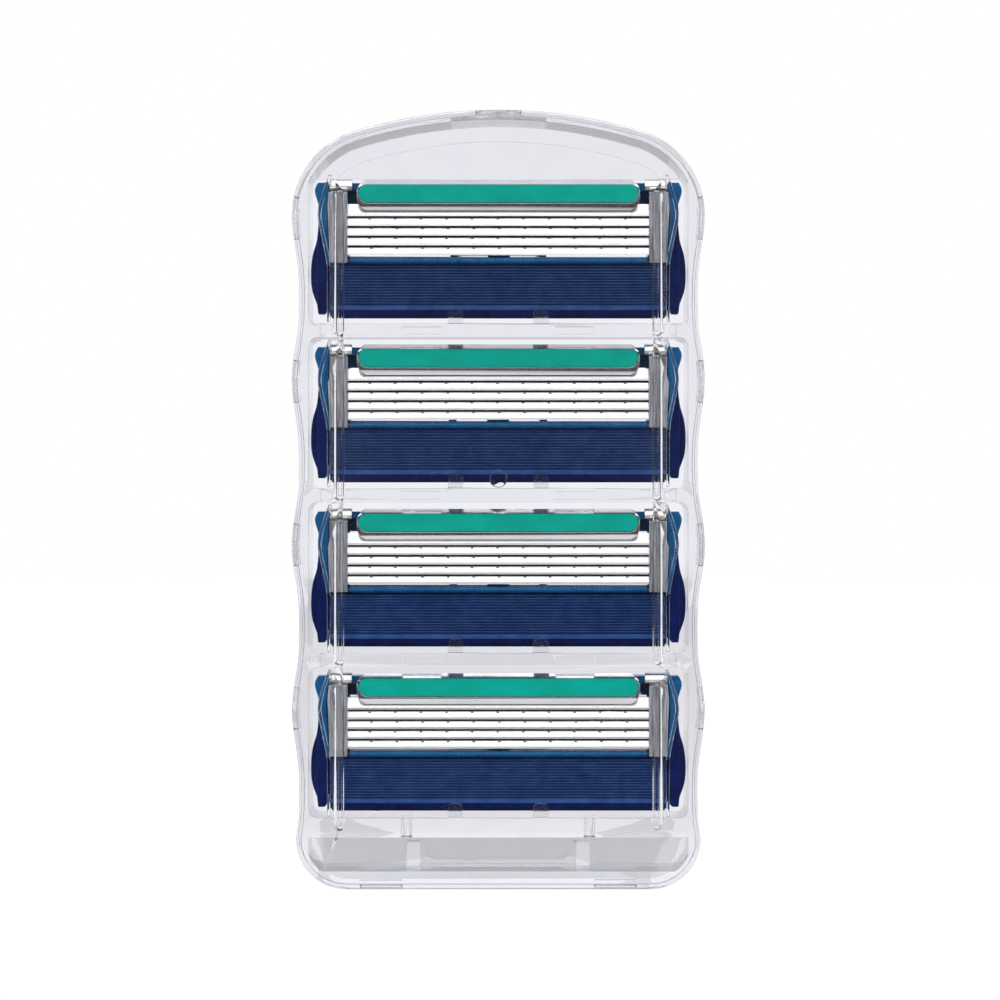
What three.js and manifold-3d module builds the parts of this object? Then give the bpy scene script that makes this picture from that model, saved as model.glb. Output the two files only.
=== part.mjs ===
// A clear snap-together refill case that holds a column of five-blade razor cartridges.
// Millimetres, +X to the right, +Z up, the clear front window faces -Y and the open bays face +Y.
// The origin is the middle of the case's foot. Every cartridge is built in its own frame: x along the
// blades, y from the skin plane back into the cartridge, z from the guard up to the lubricating strip.

import * as THREE from 'three';
import { mergeVertices } from 'three/addons/utils/BufferGeometryUtils.js';
import Module from 'manifold-3d';

const wasm = await Module();
wasm.setup();

// ---------- driving dimensions ----------

const CARTRIDGES = 4;

// modelling
const LAP = 0.1; // how far joined shapes run into each other
const PAST = 1; // how far a cutting shape runs past what it cuts

// cartridge
const UNIT_HEIGHT = 14.9; // foot of the guard to the top of the clips
const FRAME_HALF = 19.45; // middle to the end of the hard frame
const FRAME_NECK = 0.2; // how far the frame's end draws in above the wing
const FRAME_TAPER = 0.8; // how much further it draws in down to the guard bar
const WING_REACH = 0.75; // rubber wing past the end of the frame
const WING_TOP_Z = 3.5;
const WING_EDGE = [[0.7, 1.2], [0.2, -0.6], [0, -2.3], [0.1, -4.3]]; // outer edge: [inset, z]
const WING_FOOT_RISE = 0.45; // foot of a wing above the foot of the guard
const WING_FOOT_ROUND = 0.9; // height over which the outer edge turns in to the foot
const WING_FOOT_DRAFT = 0.1;
const WING_FOOT_CORNER = [0.4, 0.5]; // cut corner beside the comb, across and up
const WING_Y = [0.5, 3.6]; // front and back of a wing
const WING_STEP = 0.7; // width of the lower step along a wing's outer edge
const WING_STEP_DEEP = 0.8;
const WEB_DROP = 0.7; // skin plane to the face of the web that joins wing and guard
const WEB_FOOT_Z = -5.6;
const BLADES = 5;
const BLADE_SPAN = 1.05; // cutting edge to cutting edge
const FIRST_EDGE_Z = 3.5; // the edge nearest to the strip
const BLADE_TILT = THREE.MathUtils.degToRad(21.5);
const BLADE_FLAT = 1.4; // width of the tilted blade
const BLADE_THICK = 0.1;
const SUPPORT_THICK = 0.28; // the bent steel that the blade is welded to
const SUPPORT_SETBACK = 0.5; // blade that shows past its support
const LEG_DEPTH = 2.9; // skin plane to the foot of a support
const BLADE_END_WALL = 1.55; // end of a blade to the end of the frame
const BLADE_TRAVEL = 0.2; // how far a blade springs back
const SLOT_GAP = 0.08;
const SEAT_GAP = 0.05; // between pieces that are clamped or moulded together

const WINDOW_LAP = 0.05; // frame that shows inside the clips
const FRAME_DEPTH = 4.6;
const FRAME_FOOT_RISE = 0.25; // foot of the frame above the foot of the guard
const FRAME_FACE_Y = 0.2; // front of the frame's ends
const HORN_REACH = 0.3; // top corner of the frame past its end
const HORN_DROP = 0.9;
const HORN_ROUND = 0.05;
const HORN_WAIST_DROP = 0.6; // narrowest place below the middle of the horn
const UPPER_INSET = 0.5; // back of the cap seat inside the frame's ends
const SILL_DROP = 0.15; // last edge to the top of the guard seat
const GUARD_SEAT_Y = 1.4;
const CAP_SEAT_Y = 1.0;
const BLADE_SEAT_Y = 1.3;
const GUARD_BAR_Z = [-1.7, -0.9];
const GUARD_BAR_FACE_Y = [0.02, 0.15, 0.45]; // nose, shoulders and edges of the bar's round front
const GUARD_BAR_SHOULDER = [0.2, 0.12]; // shoulders in from the lower and the upper edge
const GUARD_BAR_END_GAP = 0.1;
const CENTRE_BAR_HALF = 1.2;
const CENTRE_BAR_INSET = 0.4; // its back inside the back of the frame

const CLIP_INSET = 2.25; // middle of a clip to the end of the frame
const CLIP_WIDTH = 1.9;
const CLIP_THICK = 0.3;
const CLIP_SIDE_GAP = 0.1;
const CLIP_FOOT_Z = -1.4; // middle of the leg that goes through the frame
const CLIP_FACE_Y = -0.2; // middle of the strap over the blades
const CLIP_HOOK = 0.9; // end of the strip turned down behind the frame
const CLIP_TAIL = 1.1; // other end, turned down behind the trimmer
const STRAP_TOP_DROP = 1.35; // top of the clip to the top of the strap
const STRAP_BEND = [0.35, 1.1]; // crease between strap and roll: y, and drop from the top
const ROLL = [[0.35, 0.9], [-0.05, 0.6], [0.1, 0.15], [0.55, 0]]; // rolled top: [y, drop]
const ROLL_BACK_Y = 1.3;
const ROLL_EXTRA = 0.5; // how much wider the rolled top of a clip is, towards the strip

const FINS = 14;
const FIN_PITCH = 0.3;
const FIN_HEIGHT = 0.35;
const FIN_SHARES = [0.35, 0.5, 0.85]; // of the pitch: foot of the tip, near and far end of the root
const FIN_LEAN = 0.09; // the tips lean back towards the foot
const GUARD_FACE_Y = 0.2;
const GUARD_LAND = 0.1; // flat above the first fin
const GUARD_LIP = [0.05, 0.5]; // plain lip under the fins: its lean and height
const GUARD_FOOT_ROUND = [0.35, 0.3]; // back and up
const GUARD_HOOK = 1; // hook under the frame
const GUARD_LAP = 0.05; // finned front past the outer edge of a clip
const GUARD_TOP_Z = -1.78;
const GUARD_CORNER = 1;

const CAP_SIDE_GAP = 0.5; // cap to the roll of a clip
const CAP_END = 0.25; // cap past the end of the strip
const CAP_LIP_Z = 4.1;
const CAP_CORNER = 1.5;
const CAP_LIP_ROUND = [0.2, 0.45]; // back and up
const CAP_BROW = [0.45, 0.8]; // slope at the top: back and down
const CAP_LIP_GAP = 0.15; // lip to the first blade
const CAP_SEAT_RISE = 0.3; // foot of the cap's back above the first blade
const CAP_RECESS_Z = [4.4, 6.3]; // the pit in the frame between the cap and a clip
const CAP_RECESS_UNDER = 0.9; // how far the pit reaches behind the end of the cap
const CAP_RECESS_LAP = 0.4; // and behind the clip
const CAP_RECESS_FLOOR = 1.1;
const STRIP_HEIGHT = 1.9;
const STRIP_THICK = 0.5;
const STRIP_LOW_ROUND = 0.52; // corner radii as shares of the strip's height
const STRIP_HIGH_ROUND = 0.42;
const STRIP_Z = 5.9; // middle of the strip
const STRIP_FACE_Y = -0.45;
const STRIP_PROUD = 0.1; // strip in front of the cap

const TRIMMER_LAP = 0.15; // carrier past the outer edge of a clip
const TRIMMER_THICK = 1.25;
const TRIMMER_HEIGHT = 1.95;
const TRIMMER_BLADE_GAP = 0.55; // trimmer blade to the inner edge of a clip
const TRIMMER_BLADE_THICK = 0.15;
const TRIMMER_BLADE_HEIGHT = 1.5;
const TRIMMER_BEVEL = 0.35;
const TRIMMER_EDGE_DROP = 0.35; // top of the carrier to the blade's seat
const TRIMMER_SLOTS = 9;
const TRIMMER_SLOT_HALF = 0.4;
const TRIMMER_SLOT_FLOOR = 0.45;
const TRIMMER_SLOT_DEEP = 0.9;

const PIVOT_Y = 5.4;
const PIVOT_Z = -3;
const PIN_RADIUS = 0.8;
const PIN_GAP = 0.1;
const EAR_RADIUS = 1.7;
const LUG_X = [7.5, 8.9];
const ARM_X = [9.05, 10.3];
const ARM_HALF = 1.4;
const ARM_ROOT = 1.6; // depth of an arm's root on the socket
const ARM_ROOM = [0.2, 0.3]; // room for an arm in the frame: round it and past its end
const PIN_END = 0.15; // pin past its arm
const SOCKET_HALF = [4.6, 2.7]; // inside of the docking socket, across and up
const SOCKET_WALL = 0.8;
const SOCKET_CORNER = [0.5, 1.2]; // inside and outside
const SOCKET_LENGTH = 4.6;
const SOCKET_FRONT = 1.8; // pivot axis to the near end of the socket

// case
const BAY_SIDE_GAP = 0.15;
const BAY_END_GAP = 0.65;
const TRAY_WALL = 0.45;
const NEST_GAP = 0.05; // tray inside cover
const COVER_WALL = 0.5;
const BULGE = 0.8; // how far each finger grip stands out from the waist
const BULGE_SHARPNESS = 1.5;
const GRIP_DROP = 3.95; // top of a cartridge down to the middle of its finger grip
const PARTITION = 1.5;
const BAY_CORNER = 0.9;
const FOOT_WALL = 1.9;
const POCKET_HEIGHT = 3.6;
const SHELF = 2.1;
const CROWN_ROOM = 6.7; // top bay to the top of the arch
const SHOULDER_RADIUS = 9.4;
const FOOT_RADIUS = 5.4;
const WINDOW_THICK = 1; // the clear front plate
const SKIN_GAP = 1.4; // front plate to the skin plane of the cartridges
const BACK_ROOM = 0.8; // connector to the back of the case
const FLANGE = 1;
const PARTITION_REACH = 6.6; // how far the partitions reach behind the skin plane
const CROWN_STEP = 2.6; // width of the arch's raised rim
const CROWN_STEP_DEEP = 0.8;
const PARTITION_STEP_INSET = 1; // low part of a partition to the sides of the bay
const FOOT_ARC_STEPS = 8;
const CROWN_ARC_STEPS = 9;
const WAVE_STEPS = 12; // for each finger grip

const RIB_WIDTH = 0.85;
const RIB_GAP = 0.15; // rib to clip
const RIB_INSET = 0.2; // middle of a rib inside the middle of its clip
const RIB_TOP_DROP = 1.2; // top of a cartridge to the top of its rib
const RIB_FOOT_LAP = 1.2; // how far a rib's foot crosses the partition below
const RIB_NOTCH_GAP = 0.15; // rib to the notch that it crosses in a partition
const RIB_GROOVE_WIDTH = 0.35; // channel sunk along the middle of a rib
const RIB_GROOVE_DEEP = 0.3;
const RIB_GROOVE_END = 0.4;
const RIB_FLAT = 0.02; // flat left between a rib's rounded corners
const CHEEK_WIDTH = 0.3;
const CHEEK_HEIGHT = 0.7;
const CHEEK_STEPS = 16;
const CHEEK_GAP = 0.05; // foot of a cheek to the outer edge of its clip
const CHEEK_LEAN = 0.15; // its top leans in over the clip
const CHEEK_BOW = [[0.5, 6], [0.95, 4.2], [0.95, 3], [0.5, 0.8], [0.1, -1.2], [0, -3]]; // [out, up]
const CHEEK_END_GAPS = [0.3, 0.2]; // to the ceiling and to the floor of the bay
const STOP_HALF_X = 4.6;
const STOP_WIDTH = 1.6;
const STOP_HEIGHT = 1.55;
const STOP_CORNER = 0.55;
const STOP_REACH = 0.6; // behind the skin plane
const STOP_GAP = 0.15;
const TAB_HEIGHT = 4.4;
const TAB_DEPTH = 3;
const TAB_GAP = 0.1;
const TAB_FROM_RIM = 1.2;
const CROWN_TAB = 4.7;
const CROWN_TAB_DEEP = 3;
const FOOT_TAB_RISE = 0.3; // top of a foot tab above the inside of the cover
const FOOT_TAB_X = 12.7;
const DRAIN_X = 9.9;
const DRAIN_Y = -1.2;
const DRAIN_RADIUS = 0.65;
const POST_X = 9.2; // the posts that divide the foot pocket
const POST_WIDTH = 1.5;
const POST_DEPTH = 4;
const POST_DROP = 1; // top of a post below the ceiling of the pocket
const SCOOP_HALF = 7.6; // thumb scoop in the back of the foot pocket
const SCOOP_DEEP = 0.5;
const SCOOP_CORNER = 0.8;
const SCOOP_TOP_GAP = 0.1;
const GATE_RADIUS = 0.95;
const GATE_HEIGHT = 0.5;
const GATE_RISE = 0.1; // above the floor of the second bay
const CORE_X = 8.25; // moulding pockets in the front edge of each partition
const CORE_WIDTH = 4.2;
const CORE_HEIGHT = 0.8;
const CORE_DEPTH = 1.2;

// ---------- what follows from them ----------

const unitHalf = UNIT_HEIGHT / 2;
const wingHalf = FRAME_HALF + WING_REACH;
const bayHalfX = wingHalf + BAY_SIDE_GAP;
const bayHalfZ = unitHalf + BAY_END_GAP;
const bayPitch = 2 * bayHalfZ + PARTITION;
const waistHalf = bayHalfX + TRAY_WALL + NEST_GAP + COVER_WALL;
const caseHalf = waistHalf + BULGE;
const shelfTop = FOOT_WALL + POCKET_HEIGHT + SHELF;
const bayZ = (index) => shelfTop + bayHalfZ + (CARTRIDGES - 1 - index) * bayPitch; // 0 is the top bay
const bulgeZ = (index) => bayZ(index) + unitHalf - GRIP_DROP;
const caseHeight = bayZ(0) + bayHalfZ + CROWN_ROOM;
const socketEnd = PIVOT_Y + SOCKET_FRONT + SOCKET_LENGTH;
const caseDepth = WINDOW_THICK + SKIN_GAP + socketEnd + BACK_ROOM;
const frontY = -caseDepth / 2;
const backY = caseDepth / 2;
const plateY = frontY + WINDOW_THICK; // inside of the front plate
const skinY = plateY + SKIN_GAP;
const rimY = backY - FLANGE - NEST_GAP; // the cover's rim
const partitionY = skinY + PARTITION_REACH;
const trayFrontY = plateY + NEST_GAP;

const flatZ = BLADE_FLAT * Math.cos(BLADE_TILT);
const flatY = BLADE_FLAT * Math.sin(BLADE_TILT);
const edgeZ = (blade) => FIRST_EDGE_Z - blade * BLADE_SPAN;
const frameTop = unitHalf - CLIP_THICK - SEAT_GAP;
const frameFoot = -unitHalf + FRAME_FOOT_RISE;
const clipCentre = FRAME_HALF - CLIP_INSET;
const clipX = [clipCentre - CLIP_WIDTH / 2, clipCentre + CLIP_WIDTH / 2];
const windowHalf = clipX[0] - WINDOW_LAP;
const bladeHalf = FRAME_HALF - BLADE_END_WALL;
const seatEnd = Math.max(clipX[1] + CLIP_SIDE_GAP, bladeHalf + SLOT_GAP);
const guardHalf = clipX[1] + GUARD_LAP;
const capHalf = clipX[0] - ROLL_EXTRA - CAP_SIDE_GAP;
const stripHalf = capHalf - CAP_END;
const trimmerHalf = clipX[1] + TRIMMER_LAP;
const trimmerBladeHalf = clipX[0] - TRIMMER_BLADE_GAP;

// ---------- colours ----------

const finish = (color, roughness, metalness, opacity = 1) =>
  new THREE.MeshStandardMaterial({ color, roughness, metalness, opacity, transparent: opacity < 1 });
const finishes = {
  clear: finish(0xe9eaf0, 0.08, 0, 0.35),
  frame: finish(0x15609c, 0.35, 0),
  guard: finish(0x0c2a78, 0.6, 0),
  steel: finish(0xd8d9da, 0.22, 1),
  clip: finish(0xa9a9b1, 0.4, 1),
  cap: finish(0xe6e7e8, 0.18, 0.3),
  strip: finish(0x0fb9a3, 0.55, 0),
  trimmer: finish(0x174f86, 0.4, 0),
  connector: finish(0x1a5a96, 0.4, 0),
};

// ---------- solids ----------

// A closed three.js geometry as a manifold-3d solid.
function solid(geometry) {
  const bare = geometry.index ? geometry.toNonIndexed() : geometry.clone();
  bare.deleteAttribute('normal');
  bare.deleteAttribute('uv');
  const merged = mergeVertices(bare, 1e-5);
  return new wasm.Manifold(
    new wasm.Mesh({
      numProp: 3,
      vertProperties: merged.attributes.position.array,
      triVerts: new Uint32Array(merged.index.array),
    }),
  );
}

// A manifold-3d solid as a named mesh.
function piece(name, body, material) {
  const made = body.getMesh();
  const geometry = new THREE.BufferGeometry()
    .setAttribute('position', new THREE.BufferAttribute(new Float32Array(made.vertProperties), 3))
    .setIndex(new THREE.BufferAttribute(new Uint32Array(made.triVerts), 1));
  geometry.computeVertexNormals();
  const mesh = new THREE.Mesh(geometry, material);
  mesh.name = name;
  return mesh;
}

const join = (bodies) => bodies.reduce((whole, body) => whole.add(body));
const cut = (body, tools) => tools.reduce((whole, tool) => whole.subtract(tool), body);
const mirrorX = (body) => body.mirror([1, 0, 0]);
const both = (body) => body.add(mirrorX(body));

const block = (x0, x1, y0, y1, z0, z1) =>
  solid(
    new THREE.BoxGeometry(x1 - x0, y1 - y0, z1 - z0).translate((x0 + x1) / 2, (y0 + y1) / 2, (z0 + z1) / 2),
  );

// An outline of [y, z] points pulled along x.
function alongX(points, x0, x1) {
  const shape = new THREE.Shape(points.map(([y, z]) => new THREE.Vector2(y, z)));
  const axes = new THREE.Matrix4().makeBasis(
    new THREE.Vector3(0, 1, 0),
    new THREE.Vector3(0, 0, 1),
    new THREE.Vector3(1, 0, 0),
  );
  const geometry = new THREE.ExtrudeGeometry(shape, { depth: x1 - x0, bevelEnabled: false });
  return solid(geometry.applyMatrix4(axes).translate(x0, 0, 0));
}

// An outline in x and z pulled along y.
function alongY(shape, y0, y1, curveSegments = 4) {
  const axes = new THREE.Matrix4().makeBasis(
    new THREE.Vector3(1, 0, 0),
    new THREE.Vector3(0, 0, 1),
    new THREE.Vector3(0, -1, 0),
  );
  const geometry = new THREE.ExtrudeGeometry(shape, { depth: y1 - y0, bevelEnabled: false, curveSegments });
  return solid(geometry.applyMatrix4(axes).translate(0, y1, 0));
}

function rodX(radius, x0, x1, y, z, sides = 16) {
  const rod = new THREE.CylinderGeometry(radius, radius, x1 - x0, sides).rotateZ(Math.PI / 2);
  return solid(rod.translate((x0 + x1) / 2, y, z));
}

function rodZ(radius, x, y, z0, z1, sides = 12) {
  const rod = new THREE.CylinderGeometry(radius, radius, z1 - z0, sides).rotateX(Math.PI / 2);
  return solid(rod.translate(x, y, (z0 + z1) / 2));
}

// A rectangle with round corners.
function roundedRect(x0, x1, z0, z1, radius) {
  const shape = new THREE.Shape();
  shape.moveTo(x0 + radius, z0);
  shape.lineTo(x1 - radius, z0);
  shape.absarc(x1 - radius, z0 + radius, radius, -Math.PI / 2, 0);
  shape.lineTo(x1, z1 - radius);
  shape.absarc(x1 - radius, z1 - radius, radius, 0, Math.PI / 2);
  shape.lineTo(x0 + radius, z1);
  shape.absarc(x0 + radius, z1 - radius, radius, Math.PI / 2, Math.PI);
  shape.lineTo(x0, z0 + radius);
  shape.absarc(x0 + radius, z0 + radius, radius, Math.PI, 1.5 * Math.PI);
  return shape;
}

// A path of [a, b] points given a width, as a closed outline with mitred bends.
function thickLine(points, width) {
  const path = points.map(([a, b]) => new THREE.Vector2(a, b));
  const side = path.map((point, i) => {
    const before = i > 0 ? point.clone().sub(path[i - 1]).normalize() : null;
    const after = i < path.length - 1 ? path[i + 1].clone().sub(point).normalize() : null;
    const along = (before ?? after).clone().add(after ?? before).normalize();
    const normal = new THREE.Vector2(-along.y, along.x);
    const straight = after ?? before;
    return normal.multiplyScalar(width / 2 / normal.dot(new THREE.Vector2(-straight.y, straight.x)));
  });
  const left = path.map((point, i) => point.clone().add(side[i]).toArray());
  const right = path.map((point, i) => point.clone().sub(side[i]).toArray());
  return [...left, ...right.reverse()];
}

// ---------- the cartridge ----------

// A thin blade with its bevelled edge, welded to a bent support whose leg rides in the frame.
function bladeBody(blade) {
  const along = (s) => [s * Math.sin(BLADE_TILT), s * Math.cos(BLADE_TILT)];
  const under = (s, depth) => {
    const [y, z] = along(s);
    return [y + depth * Math.cos(BLADE_TILT), z - depth * Math.sin(BLADE_TILT)];
  };
  const whole = BLADE_THICK + SUPPORT_THICK;
  const legZ = flatZ - SUPPORT_THICK;
  const bendS = (legZ + whole * Math.sin(BLADE_TILT)) / Math.cos(BLADE_TILT);
  const profile = [
    [0, 0],
    [flatY, flatZ],
    [LEG_DEPTH, flatZ],
    [LEG_DEPTH, legZ],
    under(bendS, whole),
    under(SUPPORT_SETBACK, whole),
    under(SUPPORT_SETBACK, BLADE_THICK),
    under(SUPPORT_SETBACK / 2, BLADE_THICK),
  ];
  const placed = profile.map(([y, z]) => [y, z + edgeZ(blade)]);
  return alongX(placed, -bladeHalf, bladeHalf);
}

// Half-length of the frame's end below the top of the wing, where it draws in towards the guard bar.
const endHalfAt = (z) =>
  FRAME_HALF - FRAME_NECK - (FRAME_TAPER * (WING_TOP_Z - z)) / (WING_TOP_Z - GUARD_BAR_Z[0]);

// The hard frame: guard seat, cap seat, slotted ends, guard bar, centre bar and pivot lugs.
function frameBody() {
  const slotX = [windowHalf - LAP, bladeHalf + SLOT_GAP];
  const lastEdge = edgeZ(BLADES - 1);
  const capSeatZ = edgeZ(0) + flatZ + 2 * SLOT_GAP;
  const endOuter = new THREE.Shape();
  endOuter.moveTo(windowHalf, GUARD_BAR_Z[0]);
  endOuter.lineTo(endHalfAt(GUARD_BAR_Z[0]), GUARD_BAR_Z[0]);
  endOuter.lineTo(endHalfAt(WING_TOP_Z), WING_TOP_Z);
  endOuter.splineThru([
    new THREE.Vector2(FRAME_HALF - FRAME_NECK / 2, (WING_TOP_Z + frameTop) / 2 - HORN_WAIST_DROP),
    new THREE.Vector2(FRAME_HALF + HORN_REACH, frameTop - HORN_DROP),
    new THREE.Vector2(FRAME_HALF - HORN_ROUND, frameTop),
  ]);
  endOuter.lineTo(windowHalf, frameTop);
  const clipHole = (x0, x1) =>
    block(
      x0,
      x1,
      -PAST,
      FRAME_DEPTH + PAST,
      CLIP_FOOT_Z - CLIP_THICK / 2 - SEAT_GAP,
      CLIP_FOOT_Z + CLIP_THICK / 2 + SEAT_GAP,
    );
  const holeX = [clipX[0] - CLIP_SIDE_GAP, clipX[1] + CLIP_SIDE_GAP];
  const bladeSlots = Array.from({ length: BLADES }, (_, blade) => {
    const top = edgeZ(blade) + flatZ;
    return both(
      block(
        slotX[0],
        slotX[1],
        0,
        LEG_DEPTH + BLADE_TRAVEL + SLOT_GAP,
        top - SUPPORT_THICK - SLOT_GAP,
        top + SLOT_GAP,
      ),
    );
  });
  const [barFoot, barTop] = GUARD_BAR_Z;
  const [noseY, shoulderY, edgeY] = GUARD_BAR_FACE_Y;
  const guardBar = [
    [GUARD_SEAT_Y + 2 * LAP, barFoot],
    [edgeY, barFoot],
    [shoulderY, barFoot + GUARD_BAR_SHOULDER[0]],
    [noseY, (barFoot + barTop) / 2],
    [shoulderY, barTop - GUARD_BAR_SHOULDER[1]],
    [edgeY, barTop],
    [GUARD_SEAT_Y + 2 * LAP, barTop],
  ];
  const ear = rodX(EAR_RADIUS, LUG_X[0], LUG_X[1], PIVOT_Y, PIVOT_Z, 20);
  const earRoot = block(
    LUG_X[0],
    LUG_X[1],
    FRAME_DEPTH - LAP,
    PIVOT_Y,
    PIVOT_Z - EAR_RADIUS,
    PIVOT_Z + EAR_RADIUS,
  );
  const pin = rodX(PIN_RADIUS, LUG_X[0] + LAP, ARM_X[1] + PIN_END, PIVOT_Y, PIVOT_Z);
  const ends = both(alongY(endOuter, FRAME_FACE_Y, FRAME_DEPTH, 5));
  const seats = both(
    block(windowHalf - LAP, seatEnd, -PAST, BLADE_SEAT_Y, GUARD_BAR_Z[0] - PAST, capSeatZ),
  );
  const clipDips = both(
    block(windowHalf - LAP, seatEnd, -PAST, CAP_SEAT_Y, capSeatZ - LAP, frameTop + PAST),
  );
  const lower = block(
    -(clipX[1] + CLIP_SIDE_GAP),
    clipX[1] + CLIP_SIDE_GAP,
    GUARD_SEAT_Y,
    FRAME_DEPTH,
    frameFoot,
    lastEdge - SILL_DROP,
  );
  const upperHalf = FRAME_HALF - UPPER_INSET;
  const upper = block(-upperHalf, upperHalf, CAP_SEAT_Y, FRAME_DEPTH, capSeatZ, frameTop);
  const barHalf = windowHalf - GUARD_BAR_END_GAP;
  const bar = alongX(guardBar, -barHalf, barHalf);
  const centre = block(
    -CENTRE_BAR_HALF,
    CENTRE_BAR_HALF,
    LEG_DEPTH + BLADE_TRAVEL + SLOT_GAP,
    FRAME_DEPTH - CENTRE_BAR_INSET,
    lastEdge - SILL_DROP - LAP,
    capSeatZ + LAP,
  );
  const capRecess = both(
    block(
      capHalf - CAP_RECESS_UNDER,
      clipX[0] + CAP_RECESS_LAP,
      -PAST,
      FRAME_DEPTH - CAP_RECESS_FLOOR,
      ...CAP_RECESS_Z,
    ),
  );
  const armRoom = rodX(EAR_RADIUS + ARM_ROOM[0], LUG_X[1], ARM_X[1] + ARM_ROOM[1], PIVOT_Y, PIVOT_Z, 20);
  const plain = join([cut(ends, [seats, clipDips]), lower, upper, bar, centre]);
  const body = join([cut(plain, [both(armRoom)]), both(join([ear, earRoot, pin]))]);
  return cut(body, [...bladeSlots, both(clipHole(...holeX)), capRecess]);
}

// The moulded rubber guard: a comb of fins in front and a wing at each end.
function guardBody() {
  const back = GUARD_SEAT_Y - SEAT_GAP;
  const finTip = (z) => GUARD_FACE_Y + FIN_LEAN * (GUARD_TOP_Z - z);
  const [tipFoot, rootTop, rootFoot] = FIN_SHARES.map((share) => share * FIN_PITCH);
  const comb = Array.from({ length: FINS }, (_, fin) => {
    const z = GUARD_TOP_Z - GUARD_LAND - fin * FIN_PITCH;
    return [
      [finTip(z), z],
      [finTip(z), z - tipFoot],
      [finTip(z) + FIN_HEIGHT, z - rootTop],
      [finTip(z) + FIN_HEIGHT, z - rootFoot],
    ];
  }).flat();
  const lipZ = GUARD_TOP_Z - GUARD_LAND - FINS * FIN_PITCH;
  const profile = [
    [back, GUARD_TOP_Z],
    [finTip(0), GUARD_TOP_Z],
    ...comb,
    [finTip(lipZ), lipZ],
    [finTip(lipZ) + GUARD_LIP[0], lipZ - GUARD_LIP[1]],
    [finTip(lipZ) + GUARD_FOOT_ROUND[0], -unitHalf + GUARD_FOOT_ROUND[1]],
    [back, -unitHalf],
    [back + GUARD_HOOK, -unitHalf],
    [back + GUARD_HOOK, frameFoot - SEAT_GAP],
    [back, frameFoot - SEAT_GAP],
  ];
  const lowInner = clipX[1] + CLIP_SIDE_GAP + SEAT_GAP;
  const wingFoot = -unitHalf + WING_FOOT_RISE;
  const underBar = GUARD_BAR_Z[0] - SEAT_GAP;
  const wing = new THREE.Shape();
  wing.moveTo(endHalfAt(WING_TOP_Z) + SEAT_GAP, WING_TOP_Z);
  wing.splineThru([
    ...WING_EDGE.map(([inset, z]) => new THREE.Vector2(wingHalf - inset, z)),
    new THREE.Vector2(wingHalf - WING_STEP, wingFoot + WING_FOOT_ROUND),
  ]);
  wing.lineTo(wingHalf - WING_STEP - WING_FOOT_DRAFT, wingFoot);
  wing.lineTo(lowInner + WING_FOOT_CORNER[0], wingFoot);
  wing.lineTo(lowInner, wingFoot + WING_FOOT_CORNER[1]);
  wing.lineTo(lowInner, underBar);
  wing.lineTo(endHalfAt(GUARD_BAR_Z[0]) + SEAT_GAP, underBar);
  const lowStep = alongY(wing, WING_Y[0] + WING_STEP_DEEP, WING_Y[1], 4);
  const ridge = block(0, wingHalf - WING_STEP, 0, WING_Y[1], -unitHalf, WING_TOP_Z + PAST);
  const wings = both(join([lowStep, alongY(wing, ...WING_Y, 4).intersect(ridge)]));
  const webs = both(block(guardHalf - LAP, lowInner + LAP, WEB_DROP, back, WEB_FOOT_Z, underBar));
  const corners = roundedRect(
    -guardHalf,
    guardHalf,
    -unitHalf,
    GUARD_TOP_Z + 2 * GUARD_CORNER,
    GUARD_CORNER,
  );
  const front = alongX(profile, -guardHalf, guardHalf).intersect(alongY(corners, -PAST, back + 2 * PAST));
  return join([front, wings, webs]);
}

// The bright carrier that the lubricating strip is pressed into.
function capBody() {
  const top = unitHalf - SEAT_GAP;
  const seat = CAP_SEAT_Y - SEAT_GAP;
  const faceY = STRIP_FACE_Y + STRIP_PROUD;
  const bladeFace = (z) => (z - edgeZ(0)) * Math.tan(BLADE_TILT);
  const seatZ = edgeZ(0) + flatZ + CAP_SEAT_RISE;
  const outline = [
    [faceY + CAP_LIP_ROUND[0], CAP_LIP_Z],
    [faceY, CAP_LIP_Z + CAP_LIP_ROUND[1]],
    [faceY, top - CAP_BROW[1]],
    [faceY + CAP_BROW[0], top],
    [seat, top],
    [seat, seatZ],
    [bladeFace(seatZ - CAP_LIP_GAP) - CAP_LIP_GAP, seatZ - CAP_LIP_GAP],
    [bladeFace(CAP_LIP_Z) - CAP_LIP_GAP, CAP_LIP_Z],
  ];
  const ends = roundedRect(-capHalf, capHalf, CAP_LIP_Z - LAP, top + LAP, CAP_CORNER);
  const body = alongX(outline, -capHalf, capHalf).intersect(alongY(ends, faceY - PAST, seat + PAST));
  return cut(body, [alongY(stripShape(SEAT_GAP), STRIP_FACE_Y - PAST, stripBackY() + SEAT_GAP, 4)]);
}

const stripBackY = () => STRIP_FACE_Y + STRIP_THICK;

// The strip seen from the front, grown by a gap: rounder below than above.
function stripShape(gap) {
  const half = stripHalf + gap;
  const z0 = STRIP_Z - STRIP_HEIGHT / 2 - gap;
  const z1 = STRIP_Z + STRIP_HEIGHT / 2 + gap;
  const low = STRIP_HEIGHT * STRIP_LOW_ROUND + gap;
  const high = STRIP_HEIGHT * STRIP_HIGH_ROUND + gap;
  const shape = new THREE.Shape();
  shape.moveTo(-half + low, z0);
  shape.lineTo(half - low, z0);
  shape.absarc(half - low, z0 + low, low, -Math.PI / 2, 0);
  shape.absarc(half - high, z1 - high, high, 0, Math.PI / 2);
  shape.lineTo(-half + high, z1);
  shape.absarc(-half + high, z1 - high, high, Math.PI / 2, Math.PI);
  shape.absarc(-half + low, z0 + low, low, Math.PI, 1.5 * Math.PI);
  return shape;
}

const stripBody = () => alongY(stripShape(0), STRIP_FACE_Y, stripBackY(), 4);

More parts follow.
